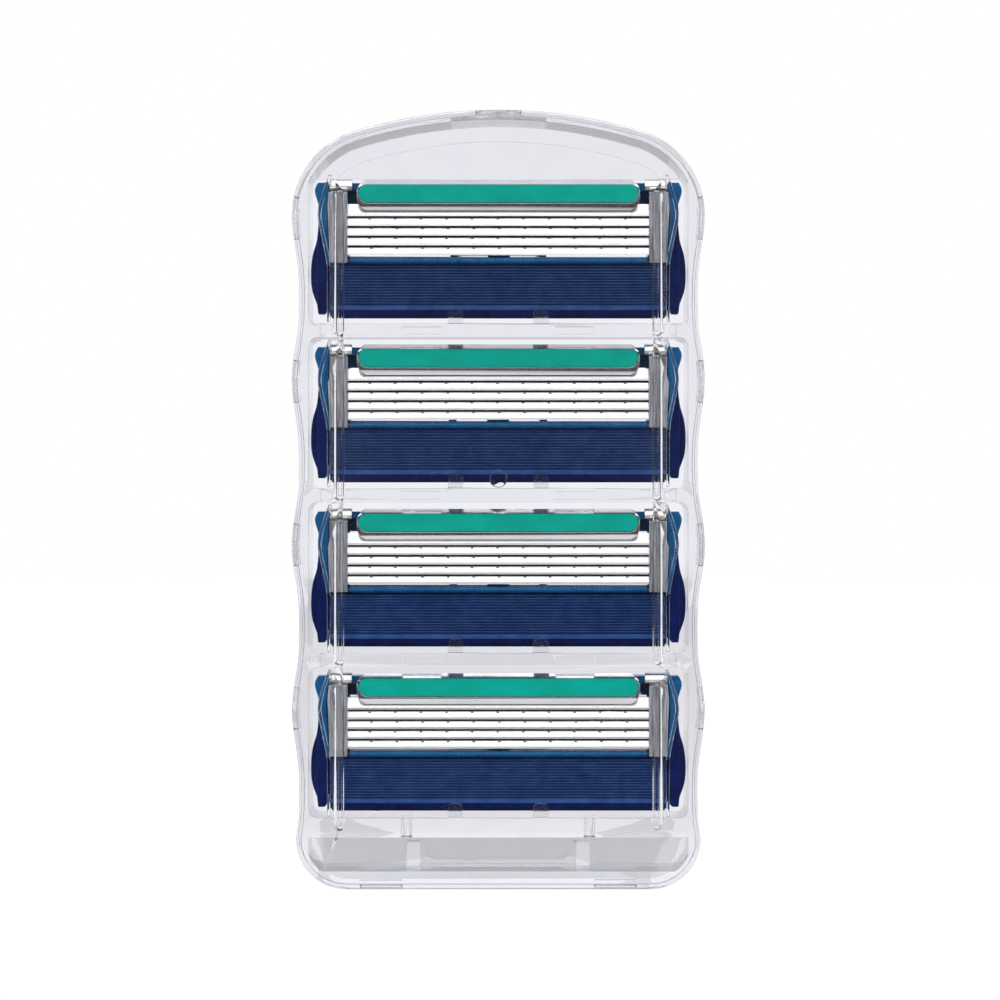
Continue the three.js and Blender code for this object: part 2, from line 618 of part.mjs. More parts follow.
// A band of soft aluminium folded round the frame: it holds the blades in front and the trimmer behind.
function clipBody() {
  const topZ = unitHalf - CLIP_THICK / 2;
  const behindFrame = FRAME_DEPTH + CLIP_THICK / 2 + SEAT_GAP;
  const behindTrimmer = trimmerY()[1] + CLIP_THICK / 2 + SEAT_GAP;
  const roll = ROLL.map(([y, drop]) => [y, topZ - drop]);
  const strap = [
    [behindFrame, CLIP_FOOT_Z - CLIP_HOOK],
    [behindFrame, CLIP_FOOT_Z],
    [CLIP_FACE_Y, CLIP_FOOT_Z],
    [CLIP_FACE_Y, topZ - STRAP_TOP_DROP],
    [STRAP_BEND[0], topZ - STRAP_BEND[1]],
    ...roll,
    [behindTrimmer, topZ],
    [behindTrimmer, topZ - CLIP_TAIL],
  ];
  return join([
    alongX(thickLine(strap, CLIP_THICK), clipX[0], clipX[1]),
    alongX(thickLine([...roll, [ROLL_BACK_Y, topZ]], CLIP_THICK), clipX[0] - ROLL_EXTRA, clipX[1]),
  ]);
}

const trimmerY = () => [FRAME_DEPTH + SEAT_GAP, FRAME_DEPTH + SEAT_GAP + TRIMMER_THICK];

// The comb on the back of the cartridge that carries the single trimming blade.
function trimmerCarrierBody() {
  const [y0, y1] = trimmerY();
  const z1 = frameTop;
  const slotPitch = (2 * trimmerBladeHalf) / (TRIMMER_SLOTS + 1);
  const slots = Array.from({ length: TRIMMER_SLOTS }, (_, i) => {
    const x = -trimmerBladeHalf + (i + 1) * slotPitch;
    return block(
      x - TRIMMER_SLOT_HALF,
      x + TRIMMER_SLOT_HALF,
      y0 + TRIMMER_SLOT_FLOOR,
      y1 + PAST,
      z1 - TRIMMER_SLOT_DEEP,
      z1 + PAST,
    );
  });
  const seat = block(
    -trimmerBladeHalf - SEAT_GAP,
    trimmerBladeHalf + SEAT_GAP,
    y1 - TRIMMER_BLADE_THICK - SEAT_GAP,
    y1 + PAST,
    z1 - TRIMMER_HEIGHT - PAST,
    z1 - TRIMMER_EDGE_DROP,
  );
  return cut(block(-trimmerHalf, trimmerHalf, y0, y1, z1 - TRIMMER_HEIGHT, z1), [seat, ...slots]);
}

function trimmerBladeBody() {
  const y1 = trimmerY()[1];
  const z1 = frameTop - TRIMMER_EDGE_DROP - SEAT_GAP;
  const y0 = y1 - TRIMMER_BLADE_THICK;
  const profile = [
    [y0, z1 - TRIMMER_BLADE_HEIGHT],
    [y0, z1],
    [y1, z1 - TRIMMER_BEVEL],
    [y1, z1 - TRIMMER_BLADE_HEIGHT],
  ];
  return alongX(profile, -trimmerBladeHalf, trimmerBladeHalf);
}

// The yoke that the handle docks into: two arms on the frame's pins and a socket between them.
function connectorBody() {
  const [halfX, halfZ] = SOCKET_HALF;
  const y0 = PIVOT_Y + SOCKET_FRONT;
  const outer = roundedRect(
    -halfX - SOCKET_WALL,
    halfX + SOCKET_WALL,
    PIVOT_Z - halfZ - SOCKET_WALL,
    PIVOT_Z + halfZ + SOCKET_WALL,
    SOCKET_CORNER[1],
  );
  const inner = roundedRect(-halfX, halfX, PIVOT_Z - halfZ, PIVOT_Z + halfZ, SOCKET_CORNER[0]);
  const arm = join([
    rodX(EAR_RADIUS, ARM_X[0], ARM_X[1], PIVOT_Y, PIVOT_Z, 20),
    block(ARM_X[0], ARM_X[1], PIVOT_Y, y0 + ARM_ROOT, PIVOT_Z - ARM_HALF, PIVOT_Z + ARM_HALF),
    block(halfX + LAP, ARM_X[1], y0, y0 + ARM_ROOT, PIVOT_Z - ARM_HALF, PIVOT_Z + ARM_HALF),
  ]);
  const bore = rodX(PIN_RADIUS + PIN_GAP, ARM_X[0] - PAST, ARM_X[1] + PAST, PIVOT_Y, PIVOT_Z);
  const body = join([alongY(outer, y0, socketEnd, 3), both(cut(arm, [bore]))]);
  return cut(body, [alongY(inner, y0 - PAST, socketEnd + PAST, 2)]);
}

function cartridge(index) {
  const group = new THREE.Group();
  const tag = `cartridge_${index + 1}`;
  const clip = clipBody();
  group.add(
    piece(`${tag}_frame`, frameBody(), finishes.frame),
    piece(`${tag}_guard`, guardBody(), finishes.guard),
    piece(`${tag}_cap`, capBody(), finishes.cap),
    piece(`${tag}_strip`, stripBody(), finishes.strip),
    piece(`${tag}_clip_right`, clip, finishes.clip),
    piece(`${tag}_clip_left`, mirrorX(clip), finishes.clip),
    piece(`${tag}_trimmer_carrier`, trimmerCarrierBody(), finishes.trimmer),
    piece(`${tag}_trimmer_blade`, trimmerBladeBody(), finishes.steel),
    piece(`${tag}_connector`, connectorBody(), finishes.connector),
  );
  for (let blade = 0; blade < BLADES; blade += 1) {
    group.add(piece(`${tag}_blade_${blade + 1}`, bladeBody(blade), finishes.steel));
  }
  group.position.set(0, skinY, bayZ(index));
  return group;
}

// ---------- the case ----------

// The case seen from the front, drawn in by an inset: flat foot, waved sides, arched crown.
function caseOutline(inset) {
  const wave = (z) => ((1 + Math.cos((2 * Math.PI * (z - bulgeZ(0))) / bayPitch)) / 2) ** BULGE_SHARPNESS;
  const halfAt = (z) => waistHalf + BULGE * wave(z);
  const shoulderZ = bulgeZ(0);
  const shoulderX = caseHalf - SHOULDER_RADIUS;
  const rise = caseHeight - shoulderZ;
  const crownRadius =
    (shoulderX ** 2 + rise ** 2 - SHOULDER_RADIUS ** 2) / (2 * (rise - SHOULDER_RADIUS));
  const crownZ = caseHeight - crownRadius;
  const tangent = Math.atan2(shoulderZ - crownZ, shoulderX);
  const footX = halfAt(FOOT_RADIUS) - FOOT_RADIUS;
  const right = [];
  const arc = (x, z, radius, from, to, steps) => {
    for (let i = 0; i <= steps; i += 1) {
      const angle = from + ((to - from) * i) / steps;
      right.push([x + radius * Math.cos(angle), z + radius * Math.sin(angle)]);
    }
  };
  arc(footX, FOOT_RADIUS, FOOT_RADIUS - inset, -Math.PI / 2, 0, FOOT_ARC_STEPS);
  const waveSteps = WAVE_STEPS * (CARTRIDGES - 0.5);
  for (let i = 1; i < waveSteps; i += 1) {
    const z = FOOT_RADIUS + ((shoulderZ - FOOT_RADIUS) * i) / waveSteps;
    right.push([halfAt(z) - inset, z]);
  }
  arc(shoulderX, shoulderZ, SHOULDER_RADIUS - inset, 0, tangent, CROWN_ARC_STEPS);
  arc(0, crownZ, crownRadius - inset, tangent, Math.PI / 2, CROWN_ARC_STEPS);
  right.splice(-CROWN_ARC_STEPS - 2, 1); // the arcs meet at one point
  right.pop();
  const top = [0, caseHeight - inset];
  const left = right.map(([x, z]) => [-x, z]).reverse();
  return new THREE.Shape([...right, top, ...left].map(([x, z]) => new THREE.Vector2(x, z)));
}

// Where the tray's snap tabs sit, as boxes grown by a gap: one on each grip, one on the crown and two on
// the foot.
function tabBoxes(gap) {
  const y0 = rimY - TAB_FROM_RIM - TAB_DEPTH - gap;
  const y1 = rimY - TAB_FROM_RIM + gap;
  const half = TAB_HEIGHT / 2 + gap;
  const reach = caseHalf + PAST;
  const grips = Array.from({ length: CARTRIDGES }, (_, i) =>
    both(block(waistHalf - COVER_WALL - PAST, reach, y0, y1, bulgeZ(i) - half, bulgeZ(i) + half)),
  );
  const crownHalf = CROWN_TAB / 2 + gap;
  const crown = block(-crownHalf, crownHalf, y0, y1, caseHeight - CROWN_TAB_DEEP, caseHeight + PAST);
  const footTop = COVER_WALL + FOOT_TAB_RISE;
  const foot = both(block(FOOT_TAB_X - half, FOOT_TAB_X + half, y0, y1, -PAST, footTop));
  return join([...grips, crown, foot]);
}

// The rib on the front plate over each end clip, seen from the front and grown by a gap. Its foot crosses
// the partition below the bay.
function ribShape(index, gap) {
  const half = RIB_WIDTH / 2 + gap;
  const x = clipCentre - RIB_INSET;
  const z = bayZ(index);
  return roundedRect(
    x - half,
    x + half,
    z - bayHalfZ - RIB_FOOT_LAP - gap,
    z + unitHalf - RIB_TOP_DROP + gap,
    half - RIB_FLAT,
  );
}

const ribTop = skinY + CLIP_FACE_Y - CLIP_THICK / 2 - RIB_GAP;

// Those ribs, each with a channel down its middle, and a curved cheek outside each one.
function plateDetails(index) {
  const z = bayZ(index);
  const x = clipCentre - RIB_INSET;
  const channel = block(
    x - RIB_GROOVE_WIDTH / 2,
    x + RIB_GROOVE_WIDTH / 2,
    ribTop - RIB_GROOVE_DEEP,
    ribTop + PAST,
    z - bayHalfZ - RIB_FOOT_LAP + RIB_GROOVE_END,
    z + unitHalf - RIB_TOP_DROP - RIB_GROOVE_END,
  );
  const rib = cut(alongY(ribShape(index, 0), plateY - LAP, ribTop, 3), [channel]);
  const cheekX = clipX[1] + CHEEK_GAP;
  const cheekCurve = new THREE.SplineCurve(
    [
      [-CHEEK_LEAN, bayHalfZ - CHEEK_END_GAPS[0]],
      ...CHEEK_BOW,
      [0, -bayHalfZ + CHEEK_END_GAPS[1]],
    ].map(([out, up]) => new THREE.Vector2(cheekX + out, z + up)),
  );
  const cheekLine = cheekCurve.getPoints(CHEEK_STEPS).map((point) => point.toArray());
  const cheekShape = new THREE.Shape(
    thickLine(cheekLine, CHEEK_WIDTH).map(([across, up]) => new THREE.Vector2(across, up)),
  );
  return both(join([rib, alongY(cheekShape, plateY - LAP, plateY + CHEEK_HEIGHT)]));
}

// The clear front: a flat window and a waved skirt, with windows for the tray's tabs.
function coverBody() {
  const shell = alongY(caseOutline(0), frontY, rimY);
  const hollow = alongY(caseOutline(COVER_WALL), plateY, rimY + PAST);
  const details = Array.from({ length: CARTRIDGES }, (_, i) => plateDetails(i));
  const gateZ = bayZ(1) - bayHalfZ + GATE_RADIUS + GATE_RISE;
  const disc = new THREE.CylinderGeometry(GATE_RADIUS, GATE_RADIUS, GATE_HEIGHT + LAP, 14);
  const gate = solid(disc.translate(0, plateY + (GATE_HEIGHT - LAP) / 2, gateZ));
  return cut(join([cut(shell, [hollow]), ...details, gate]), [tabBoxes(TAB_GAP)]);
}

// The clear tray inside it: a flanged frame with a bay for each cartridge, a crown pocket and a foot pocket.
function trayBody() {
  const nest = COVER_WALL + NEST_GAP;
  const core = alongY(caseOutline(nest), trayFrontY, backY - FLANGE / 2);
  const flange = alongY(caseOutline(0), backY - FLANGE, backY);
  const tabs = alongY(caseOutline(0), trayFrontY, rimY).intersect(tabBoxes(0));
  const inner = (inset, y0, y1) => alongY(caseOutline(inset), y0, y1);
  const insideWall = inner(nest + TRAY_WALL, frontY - 2 * PAST, backY + 2 * PAST);
  const cutters = [];
  for (let i = 0; i < CARTRIDGES; i += 1) {
    const z = bayZ(i);
    const bay = roundedRect(-bayHalfX, bayHalfX, z - bayHalfZ, z + bayHalfZ, BAY_CORNER);
    cutters.push(alongY(bay, frontY - PAST, backY + PAST, 3).intersect(insideWall));
    if (i > 0) {
      // the partition above this bay is lower than the flange
      const ceiling = z + bayHalfZ;
      const half = bayHalfX - PARTITION_STEP_INSET;
      cutters.push(
        block(-half, half, partitionY, backY + PAST, ceiling - PAST, ceiling + PARTITION + PAST),
      );
    }
  }
  for (let i = 0; i < CARTRIDGES; i += 1) {
    cutters.push(both(alongY(ribShape(i, RIB_NOTCH_GAP), trayFrontY - PAST, ribTop + RIB_NOTCH_GAP, 3)));
  }
  const topBay = bayZ(0);
  const crownClip = block(-bayHalfX, bayHalfX, frontY - PAST, backY - FLANGE, topBay, caseHeight);
  const crownFloor = backY - FLANGE - CROWN_STEP_DEEP;
  cutters.push(inner(nest + TRAY_WALL, frontY - PAST, crownFloor).intersect(crownClip));
  cutters.push(inner(CROWN_STEP, frontY - PAST, backY - FLANGE).intersect(crownClip));
  const pocketTop = FOOT_WALL + POCKET_HEIGHT;
  const pocket = block(-bayHalfX, bayHalfX, frontY - PAST, backY - FLANGE, FOOT_WALL, pocketTop);
  cutters.push(insideWall.intersect(pocket));
  cutters.push(both(rodZ(DRAIN_RADIUS, DRAIN_X, DRAIN_Y, pocketTop - PAST, shelfTop + PAST)));
  const scoop = roundedRect(
    -SCOOP_HALF,
    SCOOP_HALF,
    FOOT_WALL + SCOOP_DEEP,
    pocketTop - SCOOP_TOP_GAP,
    SCOOP_CORNER,
  );
  cutters.push(alongY(scoop, backY - SCOOP_DEEP, backY + PAST, 3));
  for (let i = 1; i < CARTRIDGES; i += 1) {
    const z = bayZ(i) + bayHalfZ + PARTITION / 2;
    const half = CORE_WIDTH / 2;
    cutters.push(
      both(
        block(
          CORE_X - half,
          CORE_X + half,
          trayFrontY - PAST,
          trayFrontY + CORE_DEPTH,
          z - CORE_HEIGHT / 2,
          z + CORE_HEIGHT / 2,
        ),
      ),
    );
  }
  const stops = Array.from({ length: CARTRIDGES }, (_, i) => {
    const floor = bayZ(i) - bayHalfZ;
    const half = STOP_WIDTH / 2;
    const tab = roundedRect(
      STOP_HALF_X - half,
      STOP_HALF_X + half,
      floor - STOP_CORNER,
      floor + STOP_HEIGHT,
      STOP_CORNER,
    );
    return both(alongY(tab, trayFrontY, skinY + STOP_REACH - STOP_GAP, 3));
  });
  const posts = both(
    block(
      POST_X - POST_WIDTH / 2,
      POST_X + POST_WIDTH / 2,
      backY - FLANGE - POST_DEPTH,
      backY - FLANGE + LAP,
      FOOT_WALL - LAP,
      pocketTop - POST_DROP,
    ),
  );
  return join([cut(join([core, flange, tabs]), cutters), posts, ...stops]);
}

const razorCartridgeCase = new THREE.Group();
razorCartridgeCase.add(piece('front_cover', coverBody(), finishes.clear));
razorCartridgeCase.add(piece('rear_tray', trayBody(), finishes.clear));
for (let index = 0; index < CARTRIDGES; index += 1) {
  razorCartridgeCase.add(cartridge(index));
}

export default razorCartridgeCase;
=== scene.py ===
"""The looks of a clear refill case and its four five-blade razor cartridges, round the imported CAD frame."""

import math

import bmesh
import bpy
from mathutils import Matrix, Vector


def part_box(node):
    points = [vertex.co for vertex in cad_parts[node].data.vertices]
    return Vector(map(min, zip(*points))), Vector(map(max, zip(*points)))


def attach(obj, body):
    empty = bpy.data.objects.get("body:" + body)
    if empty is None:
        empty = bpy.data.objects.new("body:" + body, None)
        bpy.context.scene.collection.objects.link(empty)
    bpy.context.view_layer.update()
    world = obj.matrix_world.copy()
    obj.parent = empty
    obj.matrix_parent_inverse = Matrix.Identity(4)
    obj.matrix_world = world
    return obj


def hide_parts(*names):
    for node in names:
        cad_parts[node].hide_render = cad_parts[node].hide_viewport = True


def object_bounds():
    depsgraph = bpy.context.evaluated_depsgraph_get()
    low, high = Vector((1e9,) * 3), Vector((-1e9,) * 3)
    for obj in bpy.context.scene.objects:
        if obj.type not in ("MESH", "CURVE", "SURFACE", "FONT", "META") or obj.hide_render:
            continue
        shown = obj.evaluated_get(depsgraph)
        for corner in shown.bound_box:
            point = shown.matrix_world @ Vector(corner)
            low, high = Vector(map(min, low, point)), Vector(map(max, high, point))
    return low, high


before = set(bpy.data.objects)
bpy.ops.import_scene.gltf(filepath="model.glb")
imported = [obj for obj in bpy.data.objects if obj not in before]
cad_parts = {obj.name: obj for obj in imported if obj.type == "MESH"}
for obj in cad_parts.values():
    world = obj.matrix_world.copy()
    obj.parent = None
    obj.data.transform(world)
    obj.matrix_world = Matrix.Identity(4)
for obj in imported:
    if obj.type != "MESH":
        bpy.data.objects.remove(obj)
cad_box = [list(corner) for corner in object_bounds()]


# ---------------------------------------------------------------- rear tray
# The clear tray moulding that holds a cartridge in each of its bays. Its flanged rim, bays and snap tabs
# are one shot of polished styrene; the tabs that fill the cover's windows are etched to a frosted grip.

MM = 0.001
CARTRIDGES = 4
SAME_POINT = 2e-6
FLAT_WITHIN = math.radians(1.0)
MOULDED_CORNER = 28  # degrees: a sharper bend is an edge that the tool rounds
ROOM_FOR_EDGE = 2.4  # times the rounding: a shorter edge stays crisp with its neighbours
QUAD = 4


def cad_shape(node):
    """A CAD node's shape with its split corners joined and its flat faces whole."""
    shape = bmesh.new()
    shape.from_mesh(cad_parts[node].data)
    bmesh.ops.remove_doubles(shape, verts=shape.verts, dist=SAME_POINT)
    bmesh.ops.dissolve_limit(
        shape, angle_limit=FLAT_WITHIN, verts=shape.verts, edges=shape.edges
    )
    return shape


def softened_copy(node, name, edge, segments=2, skip=None):
    """A CAD node's shape with its edges rounded, as a moulding leaves its tool."""
    shape = cad_shape(node)
    cramped = {v for e in shape.edges if e.calc_length() < ROOM_FOR_EDGE * edge for v in e.verts}
    sharp = [
        e
        for e in shape.edges
        if len(e.link_faces) == 2
        and e.calc_face_angle(0.0) > math.radians(MOULDED_CORNER)
        and not cramped.intersection(e.verts)
        and not (skip and skip(e))
    ]
    bmesh.ops.bevel(
        shape,
        geom=sharp,
        offset=edge,
        offset_type="OFFSET",
        segments=segments,
        profile=0.5,
        affect="EDGES",
        clamp_overlap=False,
        material=-1,
    )
    wide = [f for f in shape.faces if len(f.verts) > QUAD]
    bmesh.ops.triangulate(shape, faces=wide, quad_method="BEAUTY", ngon_method="BEAUTY")
    return finished(shape, name, MOULDED_CORNER)


def finished(shape, name, smooth_below=35):
    """Turns a bmesh into an object at the origin, smooth except at its sharp edges."""
    mesh = bpy.data.meshes.new(name)
    shape.to_mesh(mesh)
    shape.free()
    piece = bpy.data.objects.new(name, mesh)
    bpy.context.scene.collection.objects.link(piece)
    mesh.polygons.foreach_set("use_smooth", [True] * len(mesh.polygons))
    mesh.set_sharp_from_angle(angle=math.radians(smooth_below))
    flatten = piece.modifiers.new("flat_faces_stay_flat", "WEIGHTED_NORMAL")
    flatten.keep_sharp = True
    flatten.weight = 100
    return piece


def node_in(tree, kind, **values):
    """A shader node with its plain values set by name."""
    made = tree.nodes.new(kind)
    for key, value in values.items():
        if key in made.inputs:
            made.inputs[key].default_value = value
        else:
            setattr(made, key, value)
    return made


def new_finish(name):
    """A material with a bare Principled shader; returns the material, its tree and the shader."""
    material = bpy.data.materials.new(name)
    material.use_nodes = True
    tree = material.node_tree
    tree.nodes.clear()
    output = tree.nodes.new("ShaderNodeOutputMaterial")
    shader = tree.nodes.new("ShaderNodeBsdfPrincipled")
    tree.links.new(shader.outputs["BSDF"], output.inputs["Surface"])
    return material, tree, shader


def surface_of(tree):
    """The socket that a material's last shader goes into."""
    return next(n for n in tree.nodes if n.type == "OUTPUT_MATERIAL").inputs["Surface"]


BROAD_SHARE = 0.11  # scale of the broad grain as a share of the fine one's


def surface_grain_group():
    """Shared node group: fine moulded or metal grain as a mask and as a height, on Object coordinates."""
    group = bpy.data.node_groups.new("surface_grain", "ShaderNodeTree")
    face = group.interface
    stretch = face.new_socket("Stretch", in_out="INPUT", socket_type="NodeSocketVector")
    stretch.default_value = (1.0, 1.0, 1.0)
    scale = face.new_socket("Scale", in_out="INPUT", socket_type="NodeSocketFloat")
    scale.default_value = 1000.0
    face.new_socket("Fine", in_out="OUTPUT", socket_type="NodeSocketFloat")
    face.new_socket("Broad", in_out="OUTPUT", socket_type="NodeSocketFloat")
    start = group.nodes.new("NodeGroupInput")
    end = group.nodes.new("NodeGroupOutput")
    place = group.nodes.new("ShaderNodeTexCoord")
    turn = node_in(group, "ShaderNodeVectorMath", operation="MULTIPLY")
    group.links.new(place.outputs["Object"], turn.inputs[0])
    group.links.new(start.outputs["Stretch"], turn.inputs[1])
    fine = node_in(group, "ShaderNodeTexNoise", Detail=4.0, Roughness=0.6)
    group.links.new(turn.outputs[0], fine.inputs["Vector"])
    group.links.new(start.outputs["Scale"], fine.inputs["Scale"])
    share = node_in(group, "ShaderNodeMath", operation="MULTIPLY")
    share.inputs[1].default_value = BROAD_SHARE
    group.links.new(start.outputs["Scale"], share.inputs[0])
    broad = node_in(group, "ShaderNodeTexNoise", Detail=2.0, Roughness=0.5)
    group.links.new(turn.outputs[0], broad.inputs["Vector"])
    group.links.new(share.outputs[0], broad.inputs["Scale"])
    group.links.new(fine.outputs["Fac"], end.inputs["Fine"])
    group.links.new(broad.outputs["Fac"], end.inputs["Broad"])
    return group


surface_grain = surface_grain_group()


def grain_in(tree, scale, stretch=(1.0, 1.0, 1.0)):
    """The shared grain, placed in a material with its own scale and stretch."""
    made = tree.nodes.new("ShaderNodeGroup")
    made.node_tree = surface_grain
    made.inputs["Scale"].default_value = scale
    made.inputs["Stretch"].default_value = stretch
    return made


def ranged(tree, source, low, high, from_low=0.3, from_high=0.7):
    """A value that runs from low to high as a mask does."""
    made = node_in(tree, "ShaderNodeMapRange")
    made.inputs["From Min"].default_value = from_low
    made.inputs["From Max"].default_value = from_high
    made.inputs["To Min"].default_value = low
    made.inputs["To Max"].default_value = high
    tree.links.new(source, made.inputs["Value"])
    return made.outputs["Result"]


def tinted(tree, source, dark, light, from_low=0.3, from_high=0.7):
    """A colour that runs between two tints as a mask does."""
    made = tree.nodes.new("ShaderNodeMix")
    made.data_type = "RGBA"
    made.inputs["A"].default_value = (*dark, 1.0)
    made.inputs["B"].default_value = (*light, 1.0)
    tree.links.new(ranged(tree, source, 0.0, 1.0, from_low, from_high), made.inputs["Factor"])
    return made.outputs["Result"]


def bumped(tree, shader, height, strength, distance):
    """Feeds a height through a Bump node into the shader's normal."""
    made = node_in(tree, "ShaderNodeBump", Strength=strength, Distance=distance)
    tree.links.new(height, made.inputs["Height"])
    tree.links.new(made.outputs["Normal"], shader.inputs["Normal"])


def clear_plastic(name, low_rough, high_rough, wave, tint=1.0):
    """Clear styrene: lamps reach what is inside it, and its faces keep the tool's faint waviness."""
    material, tree, shader = new_finish(name)
    shader.inputs["Transmission Weight"].default_value = 1.0
    shader.inputs["IOR"].default_value = 1.5
    grain = grain_in(tree, 2600.0)
    flow = grain_in(tree, 240.0)
    cloudy = tuple(tint * share for share in (0.972, 0.974, 0.982))
    clearest = tuple(tint * share for share in (0.99, 0.991, 0.995))
    tree.links.new(
        tinted(tree, grain.outputs["Broad"], cloudy, clearest), shader.inputs["Base Color"]
    )
    tree.links.new(
        ranged(tree, grain.outputs["Fine"], low_rough, high_rough), shader.inputs["Roughness"]
    )
    bumped(tree, shader, flow.outputs["Broad"], wave, 0.02 * MM)
    lamp_path = tree.nodes.new("ShaderNodeLightPath")
    let_through = node_in(tree, "ShaderNodeBsdfTransparent", Color=(0.93, 0.935, 0.95, 1.0))
    mixed = tree.nodes.new("ShaderNodeMixShader")
    tree.links.new(lamp_path.outputs["Is Shadow Ray"], mixed.inputs["Fac"])
    tree.links.new(shader.outputs["BSDF"], mixed.inputs[1])
    tree.links.new(let_through.outputs["BSDF"], mixed.inputs[2])
    tree.links.new(mixed.outputs["Shader"], surface_of(tree))
    return material


clear_tray_plastic = clear_plastic("clear_tray_plastic", 0.01, 0.05, 0.25)
frosted_grip_plastic = clear_plastic("frosted_grip_plastic", 0.2, 0.3, 0.3, tint=0.9)
# painted shade: the pocket's faces are rougher and tinted a darker grey, standing for the shade in that
# recess
pocket_painted_shade_plastic = clear_plastic("pocket_painted_shade_plastic", 0.3, 0.42, 0.3, tint=0.66)

tray = softened_copy("rear_tray", "tray_moulding", 0.06 * MM)
tray.data.materials.append(clear_tray_plastic)
tray.data.materials.append(frosted_grip_plastic)
tray.data.materials.append(pocket_painted_shade_plastic)
cover_rim_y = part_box("front_cover")[1].y
grip_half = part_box("front_cover")[1].x
GRIP_BAND = 0.7 * MM
GRIPS_ABOVE = 12 * MM
CROWN_BAND = 0.9 * MM
FOOT_BAND = 0.25 * MM
BEHIND_TABS = 0.6 * MM
POCKET_FLOOR = 1.9 * MM
POCKET_TOP = 5.5 * MM
POCKET_HALF = 17.5 * MM
FACING = 0.9  # of a face's normal along Y: it looks forward or back
STOP_X = 4.6 * MM
STOP_HALF = 0.95 * MM
STOP_BELOW = 0.8 * MM
STOP_ABOVE = 1.0 * MM
STOP_FRONT = 0.2 * MM
STOP_BACK = 2 * MM
bay_feet = [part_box(f"cartridge_{n}_guard")[0].z for n in range(1, CARTRIDGES + 1)]
tray_front_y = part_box("rear_tray")[0].y


def on_stop(place):
    """True on the sides and back of the small stops under each cartridge."""
    across = abs(abs(place.x) - STOP_X) < STOP_HALF
    up = any(-STOP_BELOW < place.z - foot < STOP_ABOVE for foot in bay_feet)
    return across and up and tray_front_y + STOP_FRONT < place.y < cover_rim_y - STOP_BACK


# grips, crown and foot tabs and the stops take the frosted finish; the pocket's front and back faces take the
# painted shade
for face in tray.data.polygons:
    place = face.center
    on_grip = abs(place.x) > grip_half - GRIP_BAND and place.z > GRIPS_ABOVE
    on_ends = place.z > cad_box[1][2] - CROWN_BAND or place.z < FOOT_BAND
    on_tab = place.y < cover_rim_y - BEHIND_TABS and (on_grip or on_ends)
    in_pocket = POCKET_FLOOR < place.z < POCKET_TOP and place.y > cover_rim_y
    if on_tab or on_stop(place):
        face.material_index = 1
    elif in_pocket and abs(face.normal.y) > FACING and abs(place.x) < POCKET_HALF:
        face.material_index = 2
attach(tray, "case")
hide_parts("rear_tray")


# ---------------------------------------------------------------- front cover
# The clear styrene cover: a flat window with a waved skirt that snaps over the tray. Ribs on the window's
# inside stand over the end clips of each cartridge, and a gate mark is left near the middle.

clear_cover_plastic = clear_plastic("clear_cover_plastic", 0.008, 0.035, 0.2)
cover = softened_copy("front_cover", "cover_moulding", 0.06 * MM)
cover.data.materials.append(clear_cover_plastic)
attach(cover, "case")
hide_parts("front_cover")


# ---------------------------------------------------------------- frames
# The hard blue frame of each cartridge, one satin plastic moulding: slotted ends, guard bar, centre bar and
# the two pins that the connector swings on.

def moulded_plastic(name, dark, light, rough):
    """Satin moulded plastic with faint flow marks."""
    material, tree, shader = new_finish(name)
    grain = grain_in(tree, 5200.0)
    tree.links.new(tinted(tree, grain.outputs["Broad"], dark, light), shader.inputs["Base Color"])
    tree.links.new(
        ranged(tree, grain.outputs["Fine"], rough * 0.8, rough * 1.25), shader.inputs["Roughness"]
    )
    shader.inputs["Specular IOR Level"].default_value = 0.3
    bumped(tree, shader, grain.outputs["Fine"], 0.18, 0.01 * MM)
    return material


frame_plastic = moulded_plastic("frame_plastic", (0.002, 0.12, 0.33), (0.006, 0.18, 0.44), 0.26)
for n in range(1, CARTRIDGES + 1):
    piece = softened_copy(f"cartridge_{n}_frame", f"frame_{n}_moulding", 0.06 * MM)
    piece.data.materials.append(frame_plastic)
    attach(piece, f"cartridge_{n}")
    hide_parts(f"cartridge_{n}_frame")


# ---------------------------------------------------------------- guards
# The soft navy rubber moulded over the lower half of each frame: a comb of fine fins that stretches the
# skin before the blades, and a wing at each end.

def rubber(name, dark, light):
    """Soft rubber with a dry satin face and a little bloom."""
    material, tree, shader = new_finish(name)
    grain = grain_in(tree, 7000.0)
    tree.links.new(tinted(tree, grain.outputs["Broad"], dark, light), shader.inputs["Base Color"])
    tree.links.new(ranged(tree, grain.outputs["Fine"], 0.36, 0.52), shader.inputs["Roughness"])
    shader.inputs["Specular IOR Level"].default_value = 0.12
    bumped(tree, shader, grain.outputs["Fine"], 0.25, 0.012 * MM)
    return material


guard_rubber = rubber("guard_rubber", (0.001, 0.009, 0.1), (0.002, 0.02, 0.16))
# painted highlight: a paler blue for the fins' front tips, standing for the light they catch
fin_tip_painted_highlight = rubber("fin_tip_painted_highlight", (0.03, 0.095, 0.33), (0.06, 0.15, 0.45))
COMB_PAST_CLIP = 0.06 * MM
COMB_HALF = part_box("cartridge_1_clip_right")[1].x + COMB_PAST_CLIP
COMB_FOOT = 1.0 * MM
COMB_TOP = 5.6 * MM


def is_in_comb(x):
    """True where the fins are, between the two wings."""
    return abs(x) < COMB_HALF


def is_fin_edge(edge):
    """True for an edge of the fins, which stay crisp."""
    return is_in_comb((edge.verts[0].co.x + edge.verts[1].co.x) / 2)


